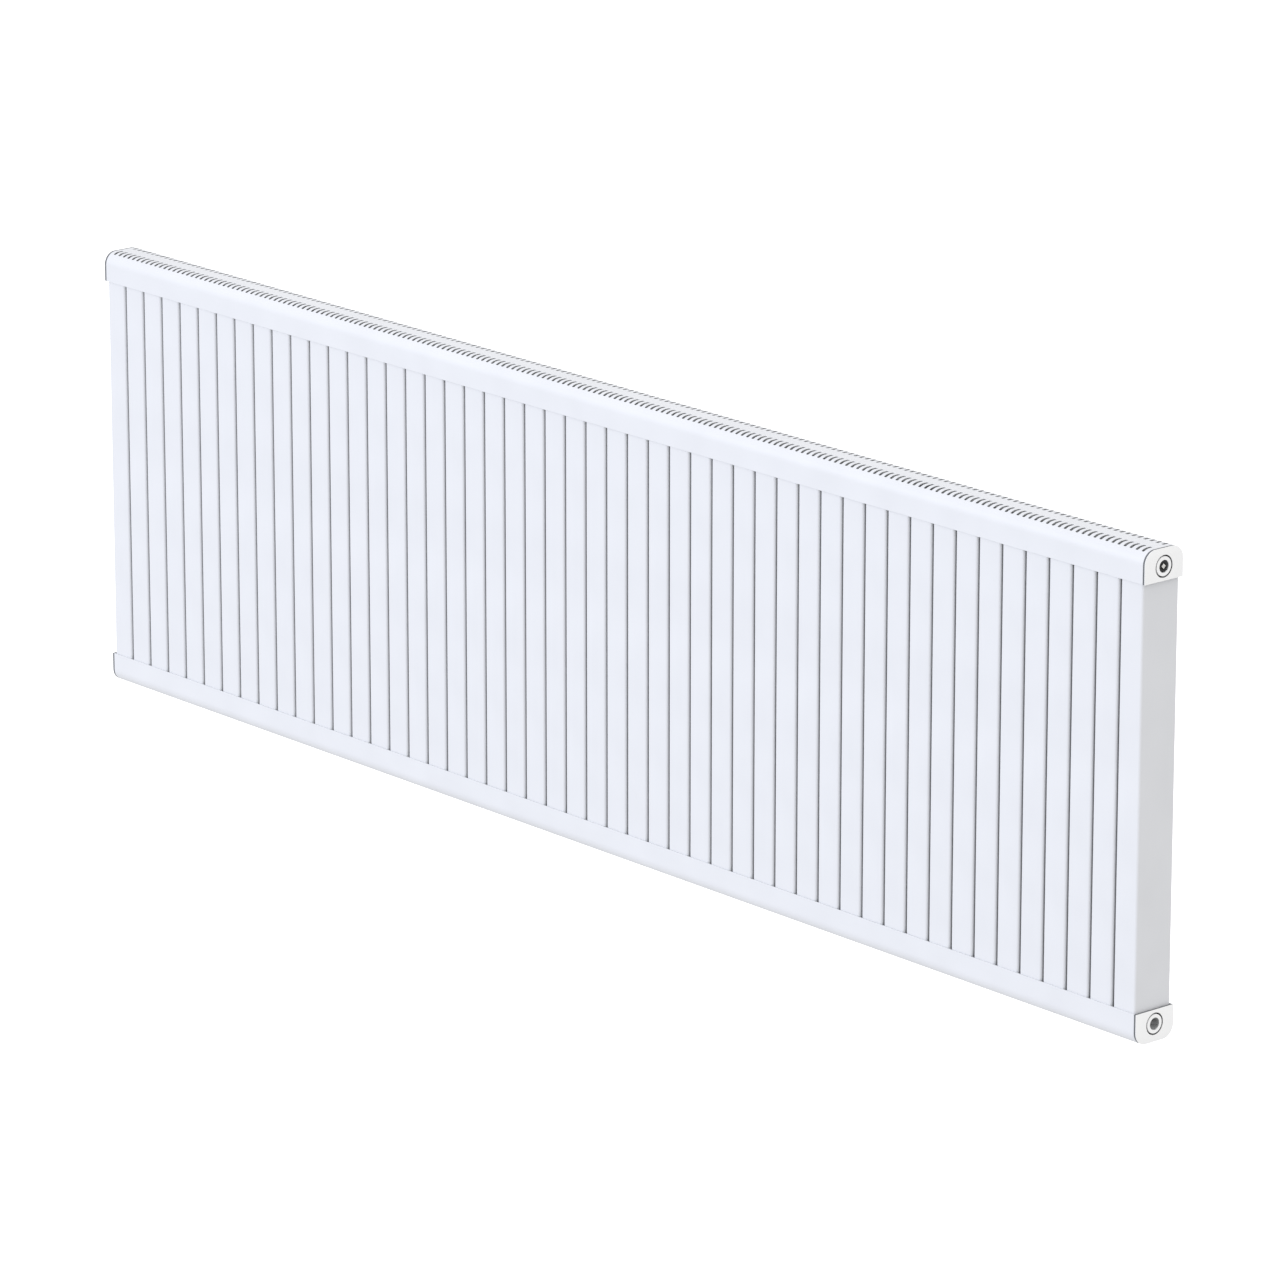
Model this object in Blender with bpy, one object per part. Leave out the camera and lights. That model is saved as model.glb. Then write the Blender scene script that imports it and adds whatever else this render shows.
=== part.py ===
"""Wall-hung hot-water radiator: aluminium slat elements between two D-section headers.

Frame: +X to the right along the radiator, +Y towards the wall, +Z up.
The origin is on the rear face of the top header cover, at mid length, where the wall bracket bears.
"""

import math

import bmesh
import bpy
from mathutils import Matrix, Vector

MM = 0.001

# Fits
CONTACT_GAP = 0.3 * MM      # between faces that touch on the real radiator

# Slats and the twin extrusions that carry them
SLAT_COUNT = 50
SLAT_PITCH = 40.0 * MM
SLAT_GAP = 3.2 * MM
SLAT_DEPTH = 59.0 * MM
SLAT_CORNER = 3.3 * MM      # rounding of a slat's upright edges
SLAT_WALL = 1.5 * MM
SLAT_HEIGHT = 525.0 * MM    # visible between the two headers
WEB = 2.0 * MM              # mid-depth web from slat to slat
TUBE_R = 12.0 * MM          # water tube, outside
TUBE_BORE_R = 9.0 * MM

# Header covers: a D-section channel, open towards the slats
COVER_HEIGHT = 40.0 * MM
COVER_WALL = 1.4 * MM
COVER_CORNER = 17.0 * MM
COVER_OVERHANG = 0.95 * MM  # cover end past the last slat
OPENING_SETBACK = 8.8 * MM  # from the cover's front or rear face to the grille slots
OPENING_DEPTH = 16.2 * MM
SLOT_PITCH = 10.0 * MM      # grille slots along the radiator
SLOT_WIDTH = 4.0 * MM
SLOTS_OVER_SLAT = 3         # joined here into one opening above each slat
INLET_LAND = 6.0 * MM       # bar between two air inlets under the radiator
INLET_RIB = 8.0 * MM        # rib between the front and rear inlets

# Water ports and collectors
PORT_FROM_SLATS = 17.6 * MM  # port axis to the header's slat-side edge
COLLECTOR = 26.0 * MM        # square tube, outside
COLLECTOR_WALL = 2.0 * MM
COLLECTOR_INSET = 12.0 * MM  # collector end to the end cap's outer face
HOLE_LAND = 2.0 * MM         # from the last water hole to the end of the long tube
BOSS_R = 11.8 * MM
BOSS_SPIGOT = 10.0 * MM      # length inside the collector
PORT_BORE_R = 7.475 * MM     # 3/8 inch pipe thread, minor diameter 14.95 mm

# End caps
CAP_THICKNESS = 1.0 * MM
CAP_HOLE_R = 13.7 * MM
GASKET_THICKNESS = 1.4 * MM
TONGUE_LENGTH = 11.0 * MM
TONGUE_HEIGHT = 12.0 * MM
TONGUE_THICKNESS = 1.2 * MM
RING_RECESS = 1.5 * MM       # boss ring's face below the cap's outer face

# Air vent, O-rings and blanking plug
VENT_DEPTH = 6.0 * MM        # vent body's face below the boss face
VENT_LENGTH = 13.0 * MM
SPINDLE_R = 3.8 * MM
SPINDLE_LENGTH = 8.5 * MM
NEEDLE_SEAT_R = 1.4 * MM
NEEDLE_TIP_R = 0.6 * MM
KEY_SQUARE = 5.0 * MM        # across the flats
KEY_DIMPLE_R = 0.8 * MM
KEY_SETBACK = 1.0 * MM       # key end below the boss face with the vent shut
ORING_SECTION = 1.2 * MM
ORING_GROOVE_FROM_END = 2.0 * MM
PLUG_DEPTH = 0.5 * MM
PLUG_LENGTH = 12.0 * MM
PLUG_KEY = 8.0 * MM          # hexagon socket across the flats
PLUG_KEY_DEPTH = 6.0 * MM

# Clips that hold the covers
CLIP_LENGTH = 20.0 * MM
CLIP_SHEET = 1.0 * MM
CLIP_FOOT = 7.0 * MM
CLIP_SPACING = 1200.0 * MM

# Facets
CORNER_STEPS = 2
COVER_ARC_STEPS = 4
ROUND_STEPS = 16
BORE_STEPS = 12
RING_STEPS = 12
ORING_STEPS = 6

# Worked out
SLAT_WIDTH = SLAT_PITCH - SLAT_GAP
ELEMENT_PITCH = 2 * SLAT_PITCH
ELEMENT_COUNT = SLAT_COUNT // 2
BLOCK_LENGTH = SLAT_COUNT * SLAT_PITCH - SLAT_GAP
COVER_DEPTH = SLAT_DEPTH + 2 * (COVER_WALL + CONTACT_GAP)
COVER_LENGTH = BLOCK_LENGTH + 2 * COVER_OVERHANG
CAP_STACK = CONTACT_GAP + GASKET_THICKNESS + CONTACT_GAP + CAP_THICKNESS
TOTAL_LENGTH = COVER_LENGTH + 2 * CAP_STACK
MID_Y = -COVER_DEPTH / 2
TUBE_HALF = (ELEMENT_COUNT - 1) * ELEMENT_PITCH / 2 + TUBE_BORE_R + HOLE_LAND
ORIGIN_HEIGHT = COVER_HEIGHT + SLAT_HEIGHT + (COVER_HEIGHT - COVER_CORNER) / 2
SLATS_BOTTOM = COVER_HEIGHT - ORIGIN_HEIGHT
SLATS_TOP = SLATS_BOTTOM + SLAT_HEIGHT
SLAT_INSERT = PORT_FROM_SLATS - COLLECTOR / 2 - CONTACT_GAP

# Each header is described by its slat-side edge and by the way it points away from the slats
HEADERS = {"top": (SLATS_TOP, 1), "bottom": (SLATS_BOTTOM, -1)}
ENDS = {"right": 1, "left": -1}


def clear_scene():
    for obj in list(bpy.data.objects):
        bpy.data.objects.remove(obj, do_unlink=True)


def make_material(name, colour, roughness, metallic):
    material = bpy.data.materials.new(name)
    material.use_nodes = True
    shader = material.node_tree.nodes["Principled BSDF"]
    shader.inputs["Base Color"].default_value = (*colour, 1.0)
    shader.inputs["Roughness"].default_value = roughness
    shader.inputs["Metallic"].default_value = metallic
    material.diffuse_color = (*colour, 1.0)
    return material


def finish(name, bm, material, smooth=False):
    """Turn a bmesh into a named object with outward faces."""
    bmesh.ops.remove_doubles(bm, verts=bm.verts, dist=0.00001)
    bmesh.ops.recalc_face_normals(bm, faces=bm.faces)
    mesh = bpy.data.meshes.new(name)
    bm.to_mesh(mesh)
    bm.free()
    mesh.materials.append(material)
    if smooth:
        mesh.shade_smooth()
        mesh.set_sharp_from_angle(angle=math.radians(35))
    obj = bpy.data.objects.new(name, mesh)
    bpy.context.scene.collection.objects.link(obj)
    return obj


def arc(centre, radius, start_deg, end_deg, steps):
    """Points on an arc in a section's own plane."""
    points = []
    for step in range(steps + 1):
        angle = math.radians(start_deg + (end_deg - start_deg) * step / steps)
        points.append((centre[0] + radius * math.cos(angle), centre[1] + radius * math.sin(angle)))
    return points


def circle(centre, radius, steps):
    return arc(centre, radius, 0, 360, steps)[:-1]


def extrude_section(loops, place, sweep):
    """Fill a section (an outline and its holes) and sweep it. place turns a section point into a 3-D one."""
    bm = bmesh.new()
    edges = []
    for loop in loops:
        verts = [bm.verts.new(place(*point)) for point in loop]
        for index, vert in enumerate(verts):
            edges.append(bm.edges.new((vert, verts[(index + 1) % len(verts)])))
    filled = bmesh.ops.triangle_fill(bm, edges=edges, use_beauty=True)
    faces = [item for item in filled["geom"] if isinstance(item, bmesh.types.BMFace)]
    swept = bmesh.ops.extrude_face_region(bm, geom=faces)
    moved = [item for item in swept["geom"] if isinstance(item, bmesh.types.BMVert)]
    bmesh.ops.translate(bm, verts=moved, vec=Vector(sweep))
    return bm


def box_mesh(bm, low, high):
    """Add a box between two corners."""
    low = Vector(low)
    high = Vector(high)
    matrix = Matrix.Translation((low + high) / 2) @ Matrix.Diagonal((*(high - low), 1.0))
    bmesh.ops.create_cube(bm, size=1.0, matrix=matrix)


def turn(profile, closed, steps):
    """Turn a profile of (along, radius) points about +X. closed joins its last point to its first."""
    bm = bmesh.new()
    rings = []
    for along, radius in profile:
        if radius == 0:
            rings.append([bm.verts.new((along, 0, 0))])
            continue
        ring = []
        for step in range(steps):
            angle = 2 * math.pi * step / steps
            ring.append(bm.verts.new((along, radius * math.cos(angle), radius * math.sin(angle))))
        rings.append(ring)
    pairs = list(zip(rings, rings[1:]))
    if closed:
        pairs.append((rings[-1], rings[0]))
    for first, second in pairs:
        for step in range(steps):
            after = (step + 1) % steps
            corners = [first[step % len(first)], first[after % len(first)]]
            corners += [second[after % len(second)], second[step % len(second)]]
            bm.faces.new(list(dict.fromkeys(corners)))
    return bm


def cutter(name, bm):
    """A hidden tool body for a Boolean."""
    bmesh.ops.recalc_face_normals(bm, faces=bm.faces)
    mesh = bpy.data.meshes.new(name)
    bm.to_mesh(mesh)
    bm.free()
    obj = bpy.data.objects.new(name, mesh)
    bpy.context.scene.collection.objects.link(obj)
    obj.hide_render = True
    obj.display_type = "WIRE"
    return obj


def combine(obj, tool, operation):
    modifier = obj.modifiers.new(operation.title(), "BOOLEAN")
    modifier.operation = operation
    modifier.solver = "EXACT"
    modifier.object = tool


def element_centre(index):
    return (index - (ELEMENT_COUNT - 1) / 2) * ELEMENT_PITCH


# ---------------------------------------------------------------- slat elements

def element_outline():
    """Outside of a twin extrusion: two slats, and the water tube bridging the gap between them."""
    half_gap = SLAT_GAP / 2
    half_depth = SLAT_DEPTH / 2
    outer = half_gap + SLAT_WIDTH
    bridge = math.sqrt(TUBE_R ** 2 - half_gap ** 2)
    inner = outer - SLAT_CORNER
    right = arc((half_gap + SLAT_CORNER, -half_depth + SLAT_CORNER), SLAT_CORNER, 180, 270, CORNER_STEPS)
    right += arc((inner, -half_depth + SLAT_CORNER), SLAT_CORNER, 270, 360, CORNER_STEPS)
    right += arc((inner, half_depth - SLAT_CORNER), SLAT_CORNER, 0, 90, CORNER_STEPS)
    right += arc((half_gap + SLAT_CORNER, half_depth - SLAT_CORNER), SLAT_CORNER, 90, 180, CORNER_STEPS)
    right = [(half_gap, -bridge)] + right + [(half_gap, bridge)]
    left = [(-x, y) for x, y in reversed(right)]
    return right + left


def air_chamber(side, face):
    """Air chamber of one slat, in front of (face -1) or behind (face 1) the mid web."""
    near = SLAT_GAP / 2 + SLAT_WALL
    far = SLAT_GAP / 2 + SLAT_WIDTH - SLAT_WALL
    low = WEB / 2
    high = SLAT_DEPTH / 2 - SLAT_WALL
    beside_tube = math.sqrt(TUBE_R ** 2 - low ** 2)
    over_tube = math.sqrt(TUBE_R ** 2 - near ** 2)
    diagonal = TUBE_R * math.sqrt(0.5)
    points = [(far, low), (far, high), (near, high), (near, over_tube), (diagonal, diagonal), (beside_tube, low)]
    return [(side * x, face * y) for x, y in points]


def make_elements(material):
    loops = [element_outline(), circle((0, 0), TUBE_BORE_R, BORE_STEPS)]
    loops += [air_chamber(side, face) for side in (1, -1) for face in (1, -1)]
    height = SLAT_HEIGHT + 2 * SLAT_INSERT
    bm = extrude_section(loops, lambda x, y: (x, y, -height / 2), (0, 0, height))
    first = finish("element_01", bm, material, smooth=True)
    middle = (SLATS_TOP + SLATS_BOTTOM) / 2
    first.location = (element_centre(0), MID_Y, middle)
    for index in range(1, ELEMENT_COUNT):
        copy = bpy.data.objects.new(f"element_{index + 1:02d}", first.data)
        copy.location = (element_centre(index), MID_Y, middle)
        bpy.context.scene.collection.objects.link(copy)


# ---------------------------------------------------------------- header covers

def header_outline(inset, steps):
    """D outline of a header from its front slat-side corner to its rear one: (depth, height from the slats)."""
    half = COVER_DEPTH / 2 - inset
    radius = COVER_CORNER - inset
    centre = COVER_DEPTH / 2 - COVER_CORNER
    level = COVER_HEIGHT - COVER_CORNER
    front = arc((-centre, level), radius, 180, 90, steps)
    rear = [(-depth, height) for depth, height in reversed(front)]
    return [(-half, 0)] + front + rear + [(half, 0)]


def header_place(header, along):
    """Section to space: depth and height from the slats, at one X."""
    edge, way = HEADERS[header]
    return lambda depth, height: (along, MID_Y + depth, edge + way * height)


def opening_cutters(header, depth, count, pitch, width, setback):
    """Boxes through the flat of a cover, in a front and a rear row."""
    edge, way = HEADERS[header]
    inner = edge + way * (COVER_HEIGHT - COVER_CORNER / 3)
    outer = edge + way * (COVER_HEIGHT + COVER_WALL)
    start = COVER_DEPTH / 2 - setback
    bm = bmesh.new()
    for index in range(count):
        centre = (index - (count - 1) / 2) * pitch
        for face in (-1, 1):
            near = MID_Y + face * start
            far = MID_Y + face * (start - depth)
            low = (centre - width / 2, min(near, far), min(inner, outer))
            high = (centre + width / 2, max(near, far), max(inner, outer))
            box_mesh(bm, low, high)
    return cutter(f"{header}_opening_tool", bm)


def make_covers(material):
    steps = COVER_ARC_STEPS
    section = header_outline(0, steps) + list(reversed(header_outline(COVER_WALL, steps)))
    covers = {}
    for header in HEADERS:
        bm = extrude_section([section], header_place(header, -COVER_LENGTH / 2), (COVER_LENGTH, 0, 0))
        covers[header] = finish(f"{header}_cover", bm, material, smooth=True)
    width = (SLOTS_OVER_SLAT - 1) * SLOT_PITCH + SLOT_WIDTH
    grille = opening_cutters("top", OPENING_DEPTH, SLAT_COUNT, SLAT_PITCH, width, OPENING_SETBACK)
    combine(covers["top"], grille, "DIFFERENCE")
    inlet_width = ELEMENT_PITCH - INLET_LAND
    flat_edge = COVER_CORNER + CONTACT_GAP
    inlet_depth = COVER_DEPTH / 2 - flat_edge - INLET_RIB / 2
    inlets = opening_cutters("bottom", inlet_depth, ELEMENT_COUNT, ELEMENT_PITCH, inlet_width, flat_edge)
    combine(covers["bottom"], inlets, "DIFFERENCE")


# ---------------------------------------------------------------- collectors and clips

def port_height(header):
    edge, way = HEADERS[header]
    return edge + way * PORT_FROM_SLATS


def make_collectors(material):
    """Square collector tubes with a water hole to each element, and the sockets at their ends."""
    half = COLLECTOR / 2
    inside = half - COLLECTOR_WALL
    outer = [(-half, -half), (half, -half), (half, half), (-half, half)]
    inner = [(-inside, -inside), (inside, -inside), (inside, inside), (-inside, inside)]
    socket = TOTAL_LENGTH / 2 - COLLECTOR_INSET - TUBE_HALF - CONTACT_GAP
    runs = {"collector_end_{}_left": (-TUBE_HALF - CONTACT_GAP, -socket),
            "{}_collector": (-TUBE_HALF, 2 * TUBE_HALF),
            "collector_end_{}_right": (TUBE_HALF + CONTACT_GAP, socket)}
    for header, (edge, way) in HEADERS.items():
        centre = port_height(header)
        tubes = {}
        for name, (start, length) in runs.items():
            bm = extrude_section([outer, inner], lambda depth, height: (start, depth, height), (length, 0, 0))
            tubes[name] = finish(name.format(header), bm, material)
            tubes[name].location = (0, MID_Y, centre)
        holes = bmesh.new()
        for index in range(ELEMENT_COUNT):
            wall_middle = centre - way * (half - COLLECTOR_WALL / 2)
            matrix = Matrix.Translation((element_centre(index), MID_Y, wall_middle))
            bmesh.ops.create_cone(holes, cap_ends=True, segments=BORE_STEPS, radius1=TUBE_BORE_R,
                                  radius2=TUBE_BORE_R, depth=2 * COLLECTOR_WALL, matrix=matrix)
        combine(tubes["{}_collector"], cutter(f"{header}_water_hole_tool", holes), "DIFFERENCE")


def make_clips(material):
    """Hat-shaped spring clips between a collector and the inside of its cover."""
    rise = COVER_HEIGHT - COVER_WALL - PORT_FROM_SLATS - COLLECTOR / 2 - 2 * CONTACT_GAP
    foot = PORT_FROM_SLATS + COLLECTOR / 2 + CONTACT_GAP
    half = COLLECTOR / 2
    crown = half - CLIP_FOOT
    section = [(-half, 0), (-crown + CLIP_SHEET, 0), (-crown + CLIP_SHEET, rise - CLIP_SHEET)]
    section += [(crown - CLIP_SHEET, rise - CLIP_SHEET), (crown - CLIP_SHEET, 0), (half, 0)]
    section += [(half, CLIP_SHEET), (crown, CLIP_SHEET), (crown, rise), (-crown, rise)]
    section += [(-crown, CLIP_SHEET), (-half, CLIP_SHEET)]
    lifted = [(depth, foot + height) for depth, height in section]
    for header in HEADERS:
        for end, side in ENDS.items():
            start = side * CLIP_SPACING / 2 - CLIP_LENGTH / 2
            bm = extrude_section([lifted], header_place(header, start), (CLIP_LENGTH, 0, 0))
            finish(f"cover_clip_{header}_{end}", bm, material)


# ---------------------------------------------------------------- end caps and ports

def d_outline(inset, steps):
    """Closed D outline, also inset along the slat side."""
    open_outline = header_outline(inset, steps)
    return [(open_outline[0][0], inset)] + open_outline[1:-1] + [(open_outline[-1][0], inset)]


def make_end_caps(cap_material, gasket_material):
    steps = COVER_ARC_STEPS
    outer_face = TOTAL_LENGTH / 2
    tongue_outer = COVER_DEPTH / 2 - COVER_WALL - CONTACT_GAP
    tongue_low = (COVER_HEIGHT - COVER_CORNER) - TONGUE_HEIGHT
    hole = circle((0, PORT_FROM_SLATS), CAP_HOLE_R, ROUND_STEPS)
    for header, (edge, way) in HEADERS.items():
        for end, side in ENDS.items():
            plate_start = side * (outer_face - CAP_THICKNESS)
            place = header_place(header, plate_start)
            bm = extrude_section([d_outline(0, steps), hole], place, (side * CAP_THICKNESS, 0, 0))
            cap = finish(f"end_cap_{header}_{end}", bm, cap_material)
            tongues = bmesh.new()
            root = side * (outer_face - CAP_THICKNESS / 2)
            tip = side * (outer_face - CAP_THICKNESS - TONGUE_LENGTH)
            low_z, high_z = sorted((edge + way * tongue_low, edge + way * (tongue_low + TONGUE_HEIGHT)))
            for face in (-1, 1):
                near = MID_Y + face * tongue_outer
                far = MID_Y + face * (tongue_outer - TONGUE_THICKNESS)
                low = (min(root, tip), min(near, far), low_z)
                high = (max(root, tip), max(near, far), high_z)
                box_mesh(tongues, low, high)
            combine(cap, cutter(f"{header}_{end}_tongue_tool", tongues), "UNION")

            gasket_start = side * (outer_face - CAP_THICKNESS - CONTACT_GAP - GASKET_THICKNESS)
            ring = [d_outline(0, steps), d_outline(COVER_WALL, steps)]
            bm = extrude_section(ring, header_place(header, gasket_start), (side * GASKET_THICKNESS, 0, 0))
            finish(f"cap_gasket_{header}_{end}", bm, gasket_material)


def port_matrix(header, end):
    """Port frame: +X points out of the port, zero on the end cap's outer face."""
    side = ENDS[end]
    turn_round = Matrix.Rotation(0 if side > 0 else math.pi, 4, "Z")
    return Matrix.Translation((side * TOTAL_LENGTH / 2, MID_Y, port_height(header))) @ turn_round


def make_ports(boss_material, ring_material):
    shoulder = -COLLECTOR_INSET + CONTACT_GAP
    spigot_r = COLLECTOR / 2 - COLLECTOR_WALL - CONTACT_GAP
    spigot_end = -COLLECTOR_INSET - BOSS_SPIGOT
    boss = [(0, PORT_BORE_R), (0, BOSS_R), (shoulder, BOSS_R), (shoulder, spigot_r)]
    boss += [(spigot_end, spigot_r), (spigot_end, PORT_BORE_R)]
    inner = BOSS_R + CONTACT_GAP
    outer = CAP_HOLE_R - CONTACT_GAP
    ring_back = -(CAP_STACK + COVER_OVERHANG - CONTACT_GAP)
    ring = [(-RING_RECESS, inner), (-RING_RECESS, outer), (ring_back, outer), (ring_back, inner)]
    for header in HEADERS:
        for end in ENDS:
            matrix = port_matrix(header, end)
            bm = turn(boss, True, ROUND_STEPS)
            bm.transform(matrix)
            finish(f"port_boss_{header}_{end}", bm, boss_material, smooth=True)
            bm = turn(ring, True, ROUND_STEPS)
            bm.transform(matrix)
            finish(f"boss_ring_{header}_{end}", bm, ring_material, smooth=True)


def oring_profile(centre, inner_r, outer_r):
    """Section of an O-ring between two radii."""
    return circle((centre, (inner_r + outer_r) / 2), (outer_r - inner_r) / 2, ORING_STEPS)


def grooved(front, back, outer_r, groove_r):
    """Outside of a bush from its front face to its back one, with one O-ring groove near the back."""
    groove_back = back + ORING_GROOVE_FROM_END
    groove_front = groove_back + ORING_SECTION + 2 * CONTACT_GAP
    return [(front, outer_r), (groove_front, outer_r), (groove_front, groove_r),
            (groove_back, groove_r), (groove_back, outer_r), (back, outer_r)]


def make_bush_oring(name, back, outer_r, matrix, material):
    """O-ring in a grooved bush, clear of the groove's floor and of the bore round it."""
    outer = outer_r
    inner = outer - ORING_SECTION
    centre = back + ORING_GROOVE_FROM_END + CONTACT_GAP + ORING_SECTION / 2
    bm = turn(oring_profile(centre, inner, outer), True, RING_STEPS)
    bm.transform(matrix)
    return finish(name, bm, material, smooth=True)


def make_vent(body_material, screw_material, rubber):
    """Air vent in the top right port: bush, bleed screw and their O-rings."""
    matrix = port_matrix("top", "right")
    bush_r = PORT_BORE_R - CONTACT_GAP
    front = -VENT_DEPTH
    back = front - VENT_LENGTH
    screw_hole_r = SPINDLE_R + CONTACT_GAP
    seat = front - SPINDLE_LENGTH
    seat_back = seat - SPINDLE_R + NEEDLE_SEAT_R - CONTACT_GAP * math.sqrt(2)
    profile = grooved(front, back, bush_r, bush_r - ORING_SECTION - CONTACT_GAP)
    profile += [(back, NEEDLE_SEAT_R), (seat_back, NEEDLE_SEAT_R)]
    profile += [(seat_back + screw_hole_r - NEEDLE_SEAT_R, screw_hole_r), (front, screw_hole_r)]
    bm = turn(profile, True, ROUND_STEPS)
    bm.transform(matrix)
    finish("vent_body", bm, body_material, smooth=True)
    make_bush_oring("vent_body_o_ring", back, bush_r, matrix, rubber)

    groove_r = SPINDLE_R - ORING_SECTION - CONTACT_GAP
    tip = seat - SPINDLE_R + NEEDLE_TIP_R
    profile = [(front, 0), *grooved(front, seat, SPINDLE_R, groove_r), (tip, NEEDLE_TIP_R), (tip, 0)]
    spindle = finish("bleed_screw", turn(profile, False, RING_STEPS), screw_material, smooth=True)
    spindle.matrix_world = matrix
    key = bmesh.new()
    half = KEY_SQUARE / 2
    box_mesh(key, (front - SPINDLE_R / 2, -half, -half), (-KEY_SETBACK, half, half))
    key_tool = cutter("vent_key_tool", key)
    key_tool.matrix_world = matrix @ Matrix.Rotation(math.radians(45), 4, "X")
    combine(spindle, key_tool, "UNION")
    dimple = turn([(0, 0), (0, KEY_DIMPLE_R), (-KEY_SETBACK - KEY_DIMPLE_R, KEY_DIMPLE_R),
                   (-KEY_SETBACK - KEY_DIMPLE_R, 0)], False, BORE_STEPS)
    dimple_tool = cutter("vent_dimple_tool", dimple)
    dimple_tool.matrix_world = matrix
    combine(spindle, dimple_tool, "DIFFERENCE")
    make_bush_oring("bleed_screw_o_ring", seat, SPINDLE_R, matrix, rubber)


def make_plug(material, rubber):
    """Blanking plug with a hexagon socket in the bottom left port."""
    matrix = port_matrix("bottom", "left")
    bush_r = PORT_BORE_R - CONTACT_GAP
    front = -PLUG_DEPTH
    back = front - PLUG_LENGTH
    profile = [(front, 0), *grooved(front, back, bush_r, bush_r - ORING_SECTION - CONTACT_GAP), (back, 0)]
    plug = finish("blanking_plug", turn(profile, False, ROUND_STEPS), material, smooth=True)
    plug.matrix_world = matrix
    hexagon_r = PLUG_KEY / 2 / math.cos(math.radians(30))
    socket = turn([(0, 0), (0, hexagon_r), (front - PLUG_KEY_DEPTH, hexagon_r),
                   (front - PLUG_KEY_DEPTH, 0)], False, 6)
    socket_tool = cutter("plug_socket_tool", socket)
    socket_tool.matrix_world = matrix
    combine(plug, socket_tool, "DIFFERENCE")
    make_bush_oring("blanking_plug_o_ring", back, bush_r, matrix, rubber)


def main():
    clear_scene()
    white = make_material("white_powder_coat", (0.81, 0.84, 0.88), 0.45, 0.0)
    cap_white = make_material("white_cap", (0.84, 0.84, 0.84), 0.4, 0.0)
    aluminium = make_material("mill_aluminium", (0.60, 0.61, 0.62), 0.4, 1.0)
    gasket = make_material("grey_gasket", (0.27, 0.28, 0.30), 0.6, 0.0)
    rubber = make_material("black_rubber", (0.03, 0.03, 0.03), 0.7, 0.0)
    nickel = make_material("nickel_plated_brass", (0.66, 0.63, 0.58), 0.25, 1.0)
    spring_steel = make_material("spring_steel", (0.45, 0.46, 0.47), 0.35, 1.0)
    make_elements(white)
    make_covers(white)
    make_collectors(aluminium)
    make_clips(spring_steel)
    make_end_caps(cap_white, gasket)
    make_ports(cap_white, rubber)
    make_vent(nickel, nickel, rubber)
    make_plug(nickel, rubber)


main()
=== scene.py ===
"""Looks of a wall-hung aluminium slat radiator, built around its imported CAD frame.

Frame: +X to the right along the radiator, +Y towards the wall, +Z up, in metres.
"""

import math

import bmesh
import bpy
from bpy.props import FloatProperty, FloatVectorProperty, IntProperty, PointerProperty
from mathutils import Matrix, Vector
from mathutils.geometry import tessellate_polygon


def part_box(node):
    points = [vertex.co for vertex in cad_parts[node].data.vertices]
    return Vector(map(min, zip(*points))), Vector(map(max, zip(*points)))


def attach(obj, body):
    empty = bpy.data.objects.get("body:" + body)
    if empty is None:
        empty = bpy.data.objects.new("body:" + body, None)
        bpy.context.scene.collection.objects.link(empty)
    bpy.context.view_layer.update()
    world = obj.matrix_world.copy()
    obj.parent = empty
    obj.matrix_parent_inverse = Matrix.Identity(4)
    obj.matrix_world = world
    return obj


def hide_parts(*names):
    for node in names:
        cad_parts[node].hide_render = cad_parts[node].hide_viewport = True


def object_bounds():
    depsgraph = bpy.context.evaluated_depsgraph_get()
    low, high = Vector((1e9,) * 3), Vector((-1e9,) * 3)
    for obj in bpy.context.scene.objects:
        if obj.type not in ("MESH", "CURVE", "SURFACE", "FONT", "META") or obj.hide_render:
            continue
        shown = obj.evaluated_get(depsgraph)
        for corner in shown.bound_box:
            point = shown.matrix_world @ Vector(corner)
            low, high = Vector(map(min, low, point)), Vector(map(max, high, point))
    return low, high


bl_info = {
    "name": "Aluminium slat radiator",
    "version": (1, 0, 0),
    "blender": (4, 5, 0),
    "location": "View3D > Sidebar > Radiator",
    "description": "Slats, slotted headers, end caps, pipe ports and studio of a wall-hung radiator",
    "category": "Add Mesh",
}

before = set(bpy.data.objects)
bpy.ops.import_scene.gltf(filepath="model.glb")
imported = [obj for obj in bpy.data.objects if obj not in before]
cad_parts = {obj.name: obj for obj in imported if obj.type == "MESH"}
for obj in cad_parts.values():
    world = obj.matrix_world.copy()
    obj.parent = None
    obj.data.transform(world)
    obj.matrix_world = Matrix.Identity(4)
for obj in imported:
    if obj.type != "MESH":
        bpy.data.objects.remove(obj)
CAD_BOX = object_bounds()

MM = 0.001
HEADERS = {"top": 1, "bottom": -1}      # the way each header points from the slats
ENDS = {"right": 1, "left": -1}
BODY = "radiator"
ROUND = 64                              # facets of a turned piece
WALL_FACING = 0.97                      # a gap's wall has a normal at least this near to X


# ------------------------ colours and sizes

def linear(code):
    """sRGB hex to linear red, green and blue."""
    values = [int(code[start:start + 2], 16) / 255 for start in (0, 2, 4)]
    return [value / 12.92 if value <= 0.04045 else ((value + 0.055) / 1.055) ** 2.4 for value in values]


def amount(name, description, value, **kind):
    return FloatProperty(name=name, description=description, default=value, **kind)


def vector(name, description, values, **kind):
    return FloatVectorProperty(name=name, description=description, default=values, size=len(values), **kind)


def length(name, description, millimetres):
    return amount(name, description, millimetres * MM, min=0.0, precision=5, unit="LENGTH",
                  subtype="DISTANCE")


def colour(name, description, code):
    return vector(name, description, linear(code), min=0.0, max=1.0, subtype="COLOR")


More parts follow.
